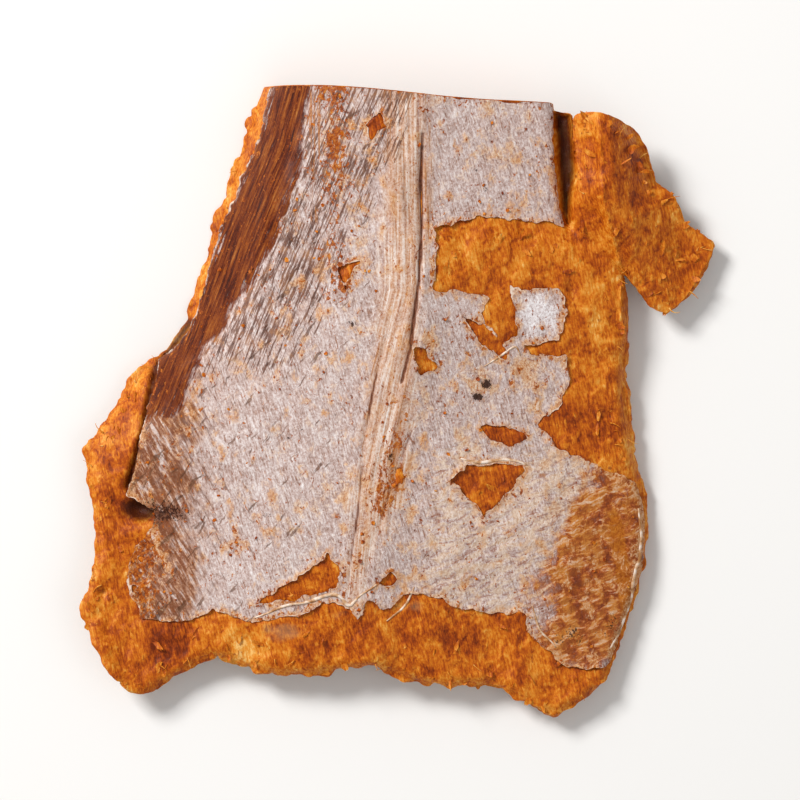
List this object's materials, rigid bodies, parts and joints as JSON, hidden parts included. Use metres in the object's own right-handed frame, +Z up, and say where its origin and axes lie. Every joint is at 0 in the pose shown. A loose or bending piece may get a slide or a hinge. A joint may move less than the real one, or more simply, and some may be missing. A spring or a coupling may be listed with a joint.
{
  "type": "dried fish fillet piece",
  "caption": "Flat dried fish fillet piece with silvery skin and amber flesh, knife-cut straight at one end and torn ragged at the other, with a torn flap at its side.",
  "frame": {"origin": "middle of the footprint, on the surface that the fillet lies on", "axes": "+Z up out of the skin side, +Y along the fillet towards its knife-cut end, +X towards the side with the torn flap"},
  "size_m": [0.0698, 0.0698, 0.0099],
  "materials": {
    "flesh": "dried amber fish flesh, fibrous, slightly glossy",
    "skin": "dried silvery fish skin, fine network pattern, pearly"
  },
  "bodies": {
    "root": {"fillet": "flesh"}
  },
  "joints": []
}
